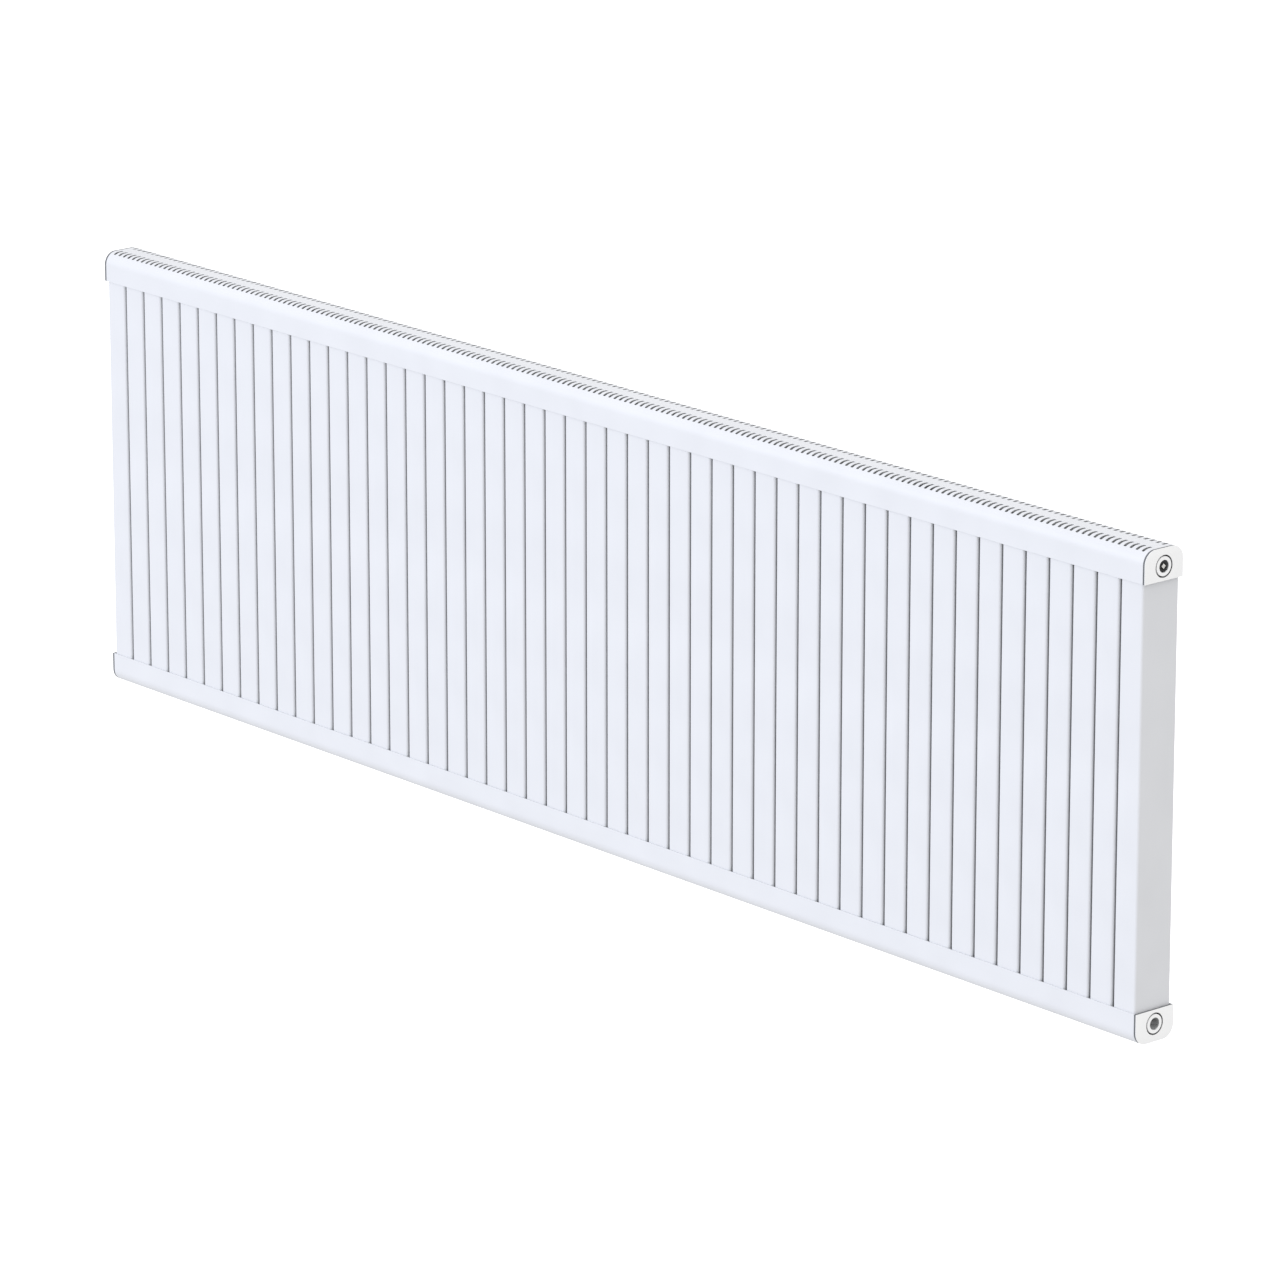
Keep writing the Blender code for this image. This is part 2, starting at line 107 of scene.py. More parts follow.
class RadiatorSlatSizes(bpy.types.PropertyGroup):
    pitch: length("Slat pitch", "Distance from one slat to the next", 40.0)
    gap: length("Gap", "Gap between two slats", 3.5)
    corner: length("Corner", "Rounding of a slat's upright edges", 3.3)
    wall: length("Wall", "Wall of the extrusion", 1.5)
    web: length("Web", "Mid-depth web from slat to slat", 2.0)
    tube_radius: length("Tube radius", "Outside of the water tube", 12.0)
    bore_radius: length("Bore radius", "Bore of the water tube", 9.0)
    corner_steps: IntProperty(name="Corner facets", description="Facets in a rounded edge", default=6, min=2)


class RadiatorHeaderSizes(bpy.types.PropertyGroup):
    corner: length("Corner", "Rounding of a header's long edges", 17.0)
    wall: length("Wall", "Sheet thickness of a header", 1.4)
    edge: length("Edge", "Softened edge of the coated sheet", 0.25)
    end_inset: length("End inset", "Header's coated end behind its cap gasket", 0.45)
    slot_pitch: length("Slot pitch", "Distance from one grille slot to the next", 10.0)
    slot_width: length("Slot width", "Width of a grille slot", 4.2)
    slot_setback: length("Slot setback", "Header's face to the start of a slot, seen from above", 7.9)
    slot_depth: length("Slot depth", "Length of a slot, seen from above", 14.8)
    slot_corner: length("Slot corner", "Rounding of a slot's corners", 1.2)
    inlet_pitch: length("Inlet pitch", "Distance from one air inlet to the next", 80.0)
    inlet_width: length("Inlet width", "Length of an air inlet along the radiator", 74.0)
    inlet_rib: length("Inlet rib", "Rib between the front and rear inlets", 8.0)
    inlet_corner: length("Inlet corner", "Rounding of an inlet's corners", 2.0)
    margin: length("Margin", "Plain sheet's rows to an opening's rounded ends", 0.2)
    curve_steps: IntProperty(name="Curve facets", description="Facets in a header's curve", default=10, min=4)


class RadiatorCapSizes(bpy.types.PropertyGroup):
    plate: length("Plate", "Thickness of a cap's rim", 0.5)
    edge: length("Edge", "Softened outer edge of a cap", 0.15)
    hole_radius: length("Hole radius", "Hole round a pipe boss", 13.8)
    hole_edge: length("Hole edge", "Softened edge of the hole", 0.05)
    seal_shrink: length("Gasket shrink", "Gasket's outside below the header's outside", 0.35)
    seal_lap: length("Gasket lap", "How far the pressed gasket reaches over the header's end", 0.4)
    seal_play: length("Gasket play", "Gap between the gasket and its cap", 0.05)
    tongue_sink: length("Tongue sink", "Tongue's root inside its cap", 0.2)
    tongue_thickness: length("Tongue thickness", "Thickness of a spring tongue", 1.2)
    tongue_height: length("Tongue height", "Height of a spring tongue", 12.0)
    tongue_corner: length("Tongue corner", "Rounding of a tongue's edges", 0.4)
    tongue_play: length("Tongue play", "Gap between a tongue and its header", 0.3)


class RadiatorPortSizes(bpy.types.PropertyGroup):
    thread_pitch: length("Thread pitch", "Pipe thread of 19 turns an inch", 1.337)
    minor_radius: length("Minor radius", "Half the minor diameter of a G 3/8 thread", 7.475)
    major_radius: length("Major radius", "Half the major diameter of a G 3/8 thread", 8.331)
    mouth_radius: length("Mouth radius", "Lead-in at the boss face", 7.7)
    mouth_depth: length("Mouth depth", "Plain lead-in ahead of the thread", 1.0)
    insert_radius: length("Insert radius", "Outside of the threaded insert", 8.9)
    boss_radius: length("Boss radius", "Outside of a pipe boss at its face", 11.9)
    boss_edge: length("Boss edge", "Softened edge of the boss face", 0.25)
    ring_sink: length("Ring sink", "Rubber ring below the boss face", 2.2)
    oring_section: length("O-ring section", "Cord thickness of an O-ring", 1.2)
    clearance: length("Clearance", "Gap between pieces that fit together", 0.3)
    bush_sink: length("Bush sink", "Vent bush's dark face below the boss face", 0.9)
    key_square: length("Key square", "Bleed key square, across its flats", 5.0)
    key_setback: length("Key setback", "Bleed key's end below the boss face", 0.6)
    key_edge: length("Key edge", "Rounding of the key's edges", 0.4)
    dimple_radius: length("Dimple radius", "Centre dimple in the key", 0.9)
    seat_radius: length("Seat radius", "Air way under the bleed needle", 1.4)
    needle_radius: length("Needle radius", "Tip of the bleed needle", 0.6)
    key_root: length("Key root", "Bleed key's root inside the spindle", 0.2)
    key_bevel: length("Key bevel", "Softening of the key's end", 0.12)
    chamfer: length("Chamfer", "Chamfered ends of the bush, spindle and plug", 0.3)
    thread_lead: length("Thread lead", "Ends of the thread opened past its major radius", 0.1)
    collector_wall: length("Collector wall", "Wall of the collector's end round the boss", 2.0)
    socket_flats: length("Socket flats", "Hexagon socket of the blanking plug", 8.0)
    socket_depth: length("Socket depth", "Depth of the hexagon socket", 6.0)


class RadiatorFinishes(bpy.types.PropertyGroup):
    coat: colour("Powder coat", "Satin white polyester powder coat", "D8D9DC")
    coat_shade: colour("Powder coat, thin", "Where the coat lies a little thinner", "D5D6D9")
    # painted shade: a grey that stands in for the shade on the walls of the gaps between slats and of the
    # header's openings
    coat_lean: colour("Powder coat, lean", "Grey coat as painted shade on the walls of gaps and slots", "9C9D9F")
    cap: colour("Cap", "White moulded ABS cap", "F7F7F7")
    cap_shade: colour("Cap, shade", "Moulded skin between the texture's peaks", "F3F3F3")
    gasket: colour("Gasket", "Grey EPDM foam gasket", "6C6E71")
    rubber: colour("Rubber", "Black nitrile rubber", "1A1A1B")
    nickel: colour("Nickel", "Bright nickel plating", "E6E4E0")
    # painted shade: near black for the vent bush deep in its port
    nylon: colour("Nylon", "Near black, painted shade in the vent's port", "161617")
    # partly painted shade: the grey of machined aluminium, darkened for the shade deep in a port's bore
    thread: colour("Thread", "Machined aluminium, darkened as painted shade in the bore", "8C8D8E")
    aluminium: colour("Aluminium", "Mill-finish extruded aluminium", "CFD1D2")
    steel: colour("Spring steel", "Tempered spring steel", "8E9094")
    floor: colour("Floor", "White studio floor", "F6F6F6")


class RadiatorStudio(bpy.types.PropertyGroup):
    azimuth: amount("Camera azimuth", "Camera's way round the radiator", math.radians(49.26), subtype="ANGLE")
    elevation: amount("Camera elevation", "Camera above the horizon", math.radians(16.21), subtype="ANGLE")
    distance: amount("Camera distance", "Camera to the point it looks at", 9.284, unit="LENGTH")
    aim: vector("Aim", "Point the camera looks at", (0.0367, -0.0004, -0.3013), subtype="TRANSLATION")
    lens: amount("Lens", "Focal length in millimetres", 205.89)
    key_power: amount("Key light", "Power of the front softbox", 880.0, unit="POWER")
    key_colour: colour("Key colour", "Cool daylight of the front softbox", "E2EAFF")
    softbox_size: vector("Softbox size", "Width and height of the softbox", (10.0, 5.0), unit="LENGTH")
    softbox_place: vector("Softbox place", "Softbox from the radiator's centre", (-2.8, -12.5, 4.7),
                          subtype="TRANSLATION")
    sky: amount("Room light, above", "Strength of the white room above the radiator", 1.08)
    ground: amount("Room light, below", "Strength of the white room below the radiator", 0.81)
    horizon: amount("Horizon", "Height at which the room light stops changing", 0.4)
    floor_glow: amount("Floor glow", "Light of the back-lit paper floor", 0.5)
    floor_size: amount("Floor size", "Half the floor's width", 40.0, unit="LENGTH")
    floor_drop: length("Floor drop", "Floor below the radiator's underside", 420.0)


GROUPS = {
    "radiator_slats": RadiatorSlatSizes,
    "radiator_headers": RadiatorHeaderSizes,
    "radiator_caps": RadiatorCapSizes,
    "radiator_ports": RadiatorPortSizes,
    "radiator_finishes": RadiatorFinishes,
    "radiator_studio": RadiatorStudio,
}


# ------------------------ finishes

def add_node(tree, kind, settings=None, values=None, links=None):
    """Add a node with its settings, its socket values and what feeds its sockets."""
    node = tree.nodes.new(kind)
    for name, value in (settings or {}).items():
        setattr(node, name, value)
    for name, value in (values or {}).items():
        node.inputs[name].default_value = value
    for name, source in (links or {}).items():
        tree.links.new(source, node.inputs[name])
    return node


def start_material(name, roughness, metallic=0.0):
    material = bpy.data.materials.new(name)
    material.use_nodes = True
    tree = material.node_tree
    shader = tree.nodes["Principled BSDF"]
    shader.inputs["Roughness"].default_value = roughness
    shader.inputs["Metallic"].default_value = metallic
    place = add_node(tree, "ShaderNodeTexCoord").outputs["Object"]
    return material, tree, shader, place


def per_metre(millimetres):
    """Texture scale whose features are that many millimetres apart."""
    return 1 / (millimetres * MM)


def shade(tone, part):
    """The same colour at a part of its strength."""
    return [value * part for value in tone]


def noise(tree, place, millimetres, detail):
    """Noise with grains that many millimetres apart."""
    return add_node(tree, "ShaderNodeTexNoise", values={"Scale": per_metre(millimetres), "Detail": detail},
                    links={"Vector": place}).outputs["Fac"]


def two_tone(tree, shader, factor, dark, light):
    ramp = add_node(tree, "ShaderNodeValToRGB", links={"Fac": factor})
    for element, position, tone in zip(ramp.color_ramp.elements, (0.3, 0.7), (dark, light)):
        element.position = position
        element.color = (*tone, 1)
    tree.links.new(ramp.outputs["Color"], shader.inputs["Base Color"])


def vary_roughness(tree, shader, factor, low, high):
    spread = add_node(tree, "ShaderNodeMapRange", values={"To Min": low, "To Max": high},
                      links={"Value": factor})
    tree.links.new(spread.outputs["Result"], shader.inputs["Roughness"])


def raise_bumps(tree, shader, height, millimetres, strength=1.0):
    bump = add_node(tree, "ShaderNodeBump", values={"Strength": strength, "Distance": millimetres * MM},
                    links={"Height": height})
    tree.links.new(bump.outputs["Normal"], shader.inputs["Normal"])


def grained(name, base, grain, tones, roughness, bump, metallic=0.0, stretch=None):
    """Finish whose one grain (millimetres, detail) drives its tone, its roughness and its bumps."""
    material, tree, shader, place = start_material(name, base, metallic)
    if stretch:
        place = add_node(tree, "ShaderNodeMapping", values={"Scale": stretch},
                         links={"Vector": place}).outputs["Vector"]
    factor = noise(tree, place, *grain)
    two_tone(tree, shader, factor, *tones)
    vary_roughness(tree, shader, factor, *roughness)
    raise_bumps(tree, shader, factor, bump)
    return material


def powder_coat(name, finishes):
    """Polyester powder coat on aluminium: a satin white skin with a faint orange peel."""
    material, tree, shader, place = start_material(name, 0.4)
    peel = noise(tree, place, 2.2, 2.0)
    two_tone(tree, shader, noise(tree, place, 60.0, 1.0), finishes.coat_shade, finishes.coat)
    vary_roughness(tree, shader, peel, 0.34, 0.44)
    raise_bumps(tree, shader, peel, 0.02)
    return material


def gap_painted_shade_coat(name, finishes):
    """Painted shade: the same coat drawn greyer, and rougher, on the walls of a gap or slot, for the shade
    deep between the slats and inside the slots.
    """
    return grained(name, 0.6, (1.0, 3.0), (shade(finishes.coat_lean, 0.9), finishes.coat_lean),
                   roughness=(0.5, 0.65), bump=0.02)


def cap_plastic(name, finishes):
    """Moulded ABS: an even white, fine-grained from the spark-eroded mould."""
    return grained(name, 0.45, (0.5, 3.0), (finishes.cap_shade, finishes.cap),
                   roughness=(0.4, 0.52), bump=0.01)


def gasket_foam(name, finishes):
    """Closed-cell EPDM foam: matt grey with small open pores where it was cut."""
    material, tree, shader, place = start_material(name, 0.85)
    pores = add_node(tree, "ShaderNodeTexVoronoi", values={"Scale": per_metre(0.6)},
                     links={"Vector": place}).outputs["Distance"]
    two_tone(tree, shader, pores, shade(finishes.gasket, 0.75), finishes.gasket)
    raise_bumps(tree, shader, pores, 0.1, 0.6)
    return material


def seal_rubber(name, finishes):
    """Moulded nitrile rubber: near black, dull, with a faint bloom."""
    return grained(name, 0.7, (1.5, 4.0), (finishes.rubber, shade(finishes.rubber, 1.8)),
                   roughness=(0.6, 0.8), bump=0.01)


def vent_bush_shade_finish(name, finishes):
    """Near-black matt finish with fine flecks on the vent bush: painted shade of the deep port, over a bush
    of nickel-plated brass.
    """
    return grained(name, 0.6, (0.4, 4.0), (finishes.nylon, shade(finishes.nylon, 1.6)),
                   roughness=(0.52, 0.7), bump=0.01)


def turned_metal(name, tone, groove, low, high):
    """Metal turned on a lathe: fine rings round X that stretch the highlights across them."""
    material, tree, shader, place = start_material(name, low, metallic=1.0)
    # real tool marks are near 0.1 mm apart, drawn wider so that they show
    rings = add_node(tree, "ShaderNodeTexWave",
                     settings={"wave_type": "RINGS", "rings_direction": "X", "wave_profile": "SIN"},
                     values={"Scale": per_metre(groove) / 20, "Distortion": 0.4, "Detail": 2.0},
                     links={"Vector": place}).outputs["Fac"]
    two_tone(tree, shader, rings, shade(tone, 0.88), tone)
    vary_roughness(tree, shader, rings, low, high)
    raise_bumps(tree, shader, rings, 0.006)
    return material


def bright_nickel(name, finishes):
    """Turned brass under bright nickel."""
    return turned_metal(name, finishes.nickel, groove=0.3, low=0.2, high=0.3)


def cut_thread(name, finishes):
    """Aluminium as the threading tool leaves it, drawn darker than bare aluminium: partly painted shade deep
    in the port's bore.
    """
    return turned_metal(name, finishes.thread, groove=0.2, low=0.16, high=0.26)


def mill_aluminium(name, finishes):
    """Aluminium as it leaves the press: bright, with long die lines along X."""
    return grained(name, 0.4, (0.7, 3.0), (shade(finishes.aluminium, 0.9), finishes.aluminium),
                   roughness=(0.32, 0.5), bump=0.01, metallic=1.0, stretch=(0.02, 1.0, 1.0))


def spring_steel(name, finishes):
    """Rolled and tempered strip: grey steel with rolling marks across it."""
    return grained(name, 0.35, (0.5, 2.0), (shade(finishes.steel, 0.85), finishes.steel),
                   roughness=(0.28, 0.42), bump=0.005, metallic=1.0, stretch=(1.0, 0.05, 1.0))


def floor_paper(finishes, glow):
    """Matt white studio paper lit from behind: even, with a barely visible fibre."""
    material, tree, shader, place = start_material("studio_paper_white", 0.9)
    two_tone(tree, shader, noise(tree, place, 8.0, 3.0), shade(finishes.floor, 0.99), finishes.floor)
    shader.inputs["Emission Color"].default_value = (1, 1, 1, 1)
    shader.inputs["Emission Strength"].default_value = glow
    return material


FINISHES = {
    "white_powder_coat": ("powder_coat_satin_white", powder_coat),
    # the grey coat is painted shade for the walls of gaps and openings
    "gap_painted_shade_coat": ("powder_coat_lean_grey", gap_painted_shade_coat),
    "white_cap": ("abs_moulded_white", cap_plastic),
    "grey_gasket": ("epdm_foam_grey", gasket_foam),
    "black_rubber": ("nitrile_rubber_black", seal_rubber),
    "mill_aluminium": ("aluminium_extruded_mill_finish", mill_aluminium),
    "spring_steel": ("spring_steel_tempered", spring_steel),
    "nickel_plated_brass": ("brass_turned_nickel_plated", bright_nickel),
    "vent_bush_painted_shade": ("nylon_glass_filled_black", vent_bush_shade_finish),
    "thread": ("aluminium_machined_thread", cut_thread),
}


def finish_of(slot):
    """The material of a slot or finish, made the first time it is asked for."""
    name, maker = FINISHES[slot]
    return bpy.data.materials.get(name) or maker(name, bpy.context.scene.radiator_finishes)


# ------------------------ mesh helpers

def arc(centre, radius, start, end, steps):
    """Points of an arc, with its angles in degrees."""
    points = []
    for step in range(steps + 1):
        angle = math.radians(start + (end - start) * step / steps)
        points.append((centre[0] + radius * math.cos(angle), centre[1] + radius * math.sin(angle)))
    return points


def circle(radius, steps=ROUND, centre=(0, 0)):
    return arc(centre, radius, 0, 360, steps)[:-1]


def rounded_box(width, height, radius, steps, centre=(0, 0)):
    """Outline of a rectangle with rounded corners."""
    points = []
    for quarter, (side, way) in enumerate(((1, 1), (-1, 1), (-1, -1), (1, -1))):
        corner = (centre[0] + side * (width / 2 - radius), centre[1] + way * (height / 2 - radius))
        points += arc(corner, radius, 90 * quarter, 90 * quarter + 90, steps)
    return points


def join_loops(bm, loops):
    """Faces between each loop of vertices and the next."""
    for first, second in zip(loops, loops[1:]):
        for index in range(len(first)):
            after = (index + 1) % len(first)
            bm.faces.new((first[index], first[after], second[after], second[index]))


def close_section(bm, loops):
    """Flat faces between an outline and the holes in it."""
    flat = [vert for loop in loops for vert in loop]
    for corners in tessellate_polygon([[vert.co for vert in loop] for loop in loops]):
        bm.faces.new([flat[corner] for corner in corners])


def block(bm, outside, holes=(), pocket=None):
    """Closed solid from stacked outlines. outside runs from back to front, each through hole from front to
    back, and a pocket from the front to its floor. Every outline is a list of 3-D points."""
    outer = [[bm.verts.new(point) for point in loop] for loop in outside]
    inner = [[[bm.verts.new(point) for point in loop] for loop in hole] for hole in holes]
    sunk = [[bm.verts.new(point) for point in loop] for loop in pocket or []]
    for stack in [outer, *inner, sunk]:
        join_loops(bm, stack)
    close_section(bm, [outer[-1]] + [hole[0] for hole in inner] + sunk[:1])
    close_section(bm, [outer[0]] + [hole[-1] for hole in inner])
    if sunk:
        close_section(bm, sunk[-1:])


def finished_mesh(bm, name, finish, sharp):
    """Mesh with outward normals, one finish, and smooth shading up to the sharp angle."""
    bmesh.ops.recalc_face_normals(bm, faces=bm.faces)
    mesh = bpy.data.meshes.new(name)
    bm.to_mesh(mesh)
    mesh.materials.append(finish_of(finish))
    mesh.shade_smooth()
    mesh.set_sharp_from_angle(angle=math.radians(sharp))
    return mesh


def add_piece(name, mesh_or_bm, slot, body=BODY, replaces=(), sharp=35, finish=None):
    """A named piece with its finish, riding on a CAD body and standing for CAD nodes."""
    mesh = mesh_or_bm
    if isinstance(mesh_or_bm, bmesh.types.BMesh):
        mesh = finished_mesh(mesh_or_bm, name, finish or slot, sharp)
        mesh_or_bm.free()
    obj = bpy.data.objects.new(name, mesh)
    bpy.context.scene.collection.objects.link(obj)
    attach(obj, body)
    if replaces:
        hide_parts(*replaces)
    return obj


# ------------------------ slats

def chamber(sizes, side, face, slat):
    """Air chamber of one slat, in front of (face -1) or behind (face 1) the mid web."""
    near = sizes.gap / 2 + sizes.wall
    far = sizes.gap / 2 + slat["width"] - sizes.wall
    low = sizes.web / 2
    high = slat["depth"] / 2 - sizes.wall
    fillet = sizes.corner - sizes.wall
    start = math.degrees(math.acos(near / sizes.tube_radius))
    end = math.degrees(math.asin(low / sizes.tube_radius))
    points = arc((0, 0), sizes.tube_radius, start, end, 6)
    points += arc((far - sizes.wall, low + sizes.wall), sizes.wall, 270, 360, 3)
    points += arc((far - fillet, high - fillet), fillet, 0, 90, 4)
    points += arc((near + fillet, high - fillet), fillet, 90, 180, 4)
    return [(side * x, face * y) for x, y in points]


def slat_pair_outline(sizes, slat):
    """Outside of a twin extrusion: two slats, and the water tube bridging the gap between them."""
    half_gap = sizes.gap / 2
    half_depth = slat["depth"] / 2
    bridge = math.degrees(math.asin(half_gap / sizes.tube_radius))
    inner = half_gap + sizes.corner
    outer = half_gap + slat["width"] - sizes.corner
    edge = half_depth - sizes.corner
    steps = sizes.corner_steps
    points = arc((0, 0), sizes.tube_radius, 270, 270 + bridge, 2)
    points += arc((inner, -edge), sizes.corner, 180, 270, steps)
    points += arc((outer, -edge), sizes.corner, 270, 360, steps)
    points += arc((outer, edge), sizes.corner, 0, 90, steps)
    points += arc((inner, edge), sizes.corner, 90, 180, steps)
    points += arc((0, 0), sizes.tube_radius, 90 - bridge, 90, 2)
    return points + [(-x, y) for x, y in reversed(points[1:-1])]


class RADIATOR_OT_slats(bpy.types.Operator):
    """Twin extrusions with rounded upright edges, air chambers and a water tube each"""
    bl_idname = "radiator.slats"
    bl_label = "Slats"

    def execute(self, context):
        sizes = context.scene.radiator_slats
        names = sorted(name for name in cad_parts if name.startswith("element_"))
        low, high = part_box(names[0])
        middle_y = (low.y + high.y) / 2
        slat = {"width": sizes.pitch - sizes.gap, "depth": high.y - low.y}
        half = (high.z - low.z) / 2
        outline = slat_pair_outline(sizes, slat)
        sections = [circle(sizes.bore_radius, 40)]
        sections += [chamber(sizes, side, face, slat) for side in (1, -1) for face in (1, -1)]
        bm = bmesh.new()
        outside = [[(x, y, z) for x, y in outline] for z in (-half, half)]
        holes = [[[(x, y, z) for x, y in section] for z in (half, -half)] for section in sections]
        block(bm, outside, holes)
        for open_side in (0, -1, 1):
            shown = [name for name in names if open_side == {names[0]: -1, names[-1]: 1}.get(name, 0)]
            mesh = self.coated_mesh(bm, sizes, slat, open_side)
            for name in shown:
                low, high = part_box(name)
                obj = add_piece(f"slat_pair_{name[-2:]}", mesh, "white_powder_coat", replaces=[name])
                obj.matrix_world = Matrix.Translation(((low.x + high.x) / 2, middle_y, (low.z + high.z) / 2))
        bm.free()
        return {"FINISHED"}

    def coated_mesh(self, bm, sizes, slat, open_side):
        """Mesh of a pair with painted shade, a grey coat, on the walls of its gaps, but not on the radiator's
        open side, where no neighbour shades it.
        """
        mesh = finished_mesh(bm, "slat_pair", "white_powder_coat", 30)
        # second material: the grey painted shade for the gap walls
        mesh.materials.append(finish_of("gap_painted_shade_coat"))
        outer_wall = sizes.gap / 2 + slat["width"]
        for polygon in mesh.polygons:
            # walls that face a neighbouring slat take the painted shade
            in_gap = abs(polygon.normal.x) > WALL_FACING and polygon.area > slat["depth"] * slat["width"]
            open_wall = abs(polygon.center.x - open_side * outer_wall) < MM
            polygon.material_index = int(in_gap and not open_wall)
        return mesh


# ------------------------ header covers

def header_base(node):
    """The way a header points from the slats, 1 up or -1 down, and the level where it starts."""
    low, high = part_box(node)
    way = HEADERS["top" if "top_" in node else "bottom"]
    return way, low.z if way > 0 else high.z


class HeaderSection:
    """A header's D section. A point's run is its way round the outside from the front edge by the slats."""

    def __init__(self, node, corner):
        low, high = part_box(node)
        self.low, self.high = low, high
        self.way, self.edge = header_base(node)
        self.depth = high.y - low.y
        self.height = high.z - low.z
        self.corner = corner
        self.wall = self.height - corner
        self.curve = corner * math.pi / 2
        self.total = 2 * (self.wall + self.curve) + self.depth - 2 * corner

    def point(self, along, run, drop):
        """Point in space at one X, one run and one depth below the outside."""
        rear = run > self.total / 2
        near = self.total - run if rear else run
        if near <= self.wall:
            back, up = drop, near
        elif near <= self.wall + self.curve:
            angle = (near - self.wall) / self.corner
            back = self.corner - (self.corner - drop) * math.cos(angle)
            up = self.wall + (self.corner - drop) * math.sin(angle)
        else:
            back, up = self.corner + near - self.wall - self.curve, self.height - drop
        y = self.high.y - back if rear else self.low.y + back
        return along, y, self.edge + self.way * up

    def run_at(self, back):
        """Run at a distance behind the front face, seen from above."""
        if back < self.corner:
            return self.wall + self.corner * math.acos(1 - back / self.corner)
        return self.wall + self.curve + back - self.corner


def opening_rows(start, end, half, radius, edge, turn_steps=3):
    """Stations across one opening: (outer run, inner run, outer half width, inner half width)."""
    rows = []
    angles = [math.pi / 2 * step / turn_steps for step in range(turn_steps + 1)]
    for way, tip, turn in ((1, start, angles), (-1, end, angles[::-1])):
        for angle in turn:
            outer_run = tip + way * (radius - (radius + edge) * math.cos(angle))
            inner_run = tip + way * (radius - radius * math.cos(angle))
            outer_half = half - radius + (radius + edge) * math.sin(angle)
            inner_half = half - radius + radius * math.sin(angle)
            rows.append((outer_run, inner_run, outer_half, inner_half))
    return rows


def pierced_cover(section, sizes, openings, centres, half, radius):
    """A D-section sheet with a row of openings at each of the given runs, every edge softened."""
    edge = sizes.edge
    steps = sizes.curve_steps
    plain = [0.0, section.wall - MM]
    plain += [section.wall + section.curve * step / steps for step in range(steps + 1)]
    plain += [section.wall + section.curve + MM]
    plain = plain + [section.total - run for run in plain] + [section.total / 2]
    rows = []
    for start, end in openings:
        margin = edge + sizes.margin
        kept = []
        for run in plain:
            near_start = start - margin < run < start + radius + margin
            near_end = end - radius - margin < run < end + margin
            if not near_start and not near_end:
                kept.append(run)
        plain = kept
        rows += [(*row, (start, end)) for row in opening_rows(start, end, half, radius, edge)]
    for run in plain:
        inside = [pair for pair in openings if pair[0] < run < pair[1]]
        rows.append((run, run, half + edge, half, inside[0] if inside else None))
    rows.sort(key=lambda row: row[1])
    rows[0] = (edge, *rows[0][1:])
    rows[-1] = (section.total - edge, *rows[-1][1:])

    columns = 2 * len(centres) + 2
    ends = (section.low.x + sizes.end_inset, section.high.x - sizes.end_inset)

    def station(row, column, outer):
        if column == 0:
            return ends[0] + (edge if outer else 0)
        if column == columns - 1:
            return ends[1] - (edge if outer else 0)
        side = -1 if column % 2 else 1
        return centres[(column - 1) // 2] + side * (row[2] if outer else row[3])

    bm = bmesh.new()
    outside, lip, inside = [], {}, []
    for row in rows:
        outside.append([bm.verts.new(section.point(station(row, column, True), row[0], 0))
                        for column in range(columns)])
        inside.append([bm.verts.new(section.point(station(row, column, False), row[1], sizes.wall))
                       for column in range(columns)])

    def lip_vert(row, column):
        if (row, column) not in lip:
            place = section.point(station(rows[row], column, False), rows[row][1], edge)
            lip[row, column] = bm.verts.new(place)
        return lip[row, column]

    def is_open(row, column):
        if not 0 <= row < len(rows) - 1 or not 0 <= column < columns - 1:
            return True
        same = rows[row][4] is not None and rows[row][4] == rows[row + 1][4]
        return same and column % 2 == 1

    for row in range(len(rows) - 1):
        for column in range(columns - 1):
            if is_open(row, column):
                continue
            corners = ((row, column), (row, column + 1), (row + 1, column + 1), (row + 1, column))
            bm.faces.new([outside[r][c] for r, c in corners])
            bm.faces.new([inside[r][c] for r, c in reversed(corners)])
            beyond = ((row - 1, column), (row, column + 1), (row + 1, column), (row, column - 1))
            for index, neighbour in enumerate(beyond):
                if not is_open(*neighbour):
                    continue
                (r0, c0), (r1, c1) = corners[index], corners[(index + 1) % 4]
                first, second = lip_vert(r0, c0), lip_vert(r1, c1)
                bm.faces.new((outside[r1][c1], outside[r0][c0], first, second))
                wall = bm.faces.new((second, first, inside[r0][c0], inside[r1][c1]))
                in_opening = 0 <= neighbour[0] < len(rows) - 1 and 0 <= neighbour[1] < columns - 1
                # walls inside a slot or inlet take the painted shade
                wall.material_index = int(in_opening)
    return bm


def add_cover(name, node, sizes, section, reach, centres, width, corner):
    """A header cover whose front and rear rows of openings mirror each other."""
    start, end = (section.run_at(back) for back in reach)
    openings = [(start, end), (section.total - end, section.total - start)]
    bm = pierced_cover(section, sizes, openings, centres, width / 2, corner)
    cover = add_piece(name, bm, "white_powder_coat", replaces=[node])
    # second material: the grey painted shade for the walls of the openings
    cover.data.materials.append(finish_of("gap_painted_shade_coat"))


class RADIATOR_OT_top_header(bpy.types.Operator):
    """Top header cover with its two rows of cross slots that let the warm air out"""
    bl_idname = "radiator.top_header"
    bl_label = "Top header"

    def execute(self, context):
        sizes = context.scene.radiator_headers
        section = HeaderSection("top_cover", sizes.corner)
        reach = (sizes.slot_setback, sizes.slot_setback + sizes.slot_depth)
        last = int((section.high.x - sizes.slot_width) / sizes.slot_pitch)
        centres = [index * sizes.slot_pitch for index in range(-last, last + 1)]
        add_cover("top_header_cover", "top_cover", sizes, section, reach, centres, sizes.slot_width,
                  sizes.slot_corner)
        return {"FINISHED"}


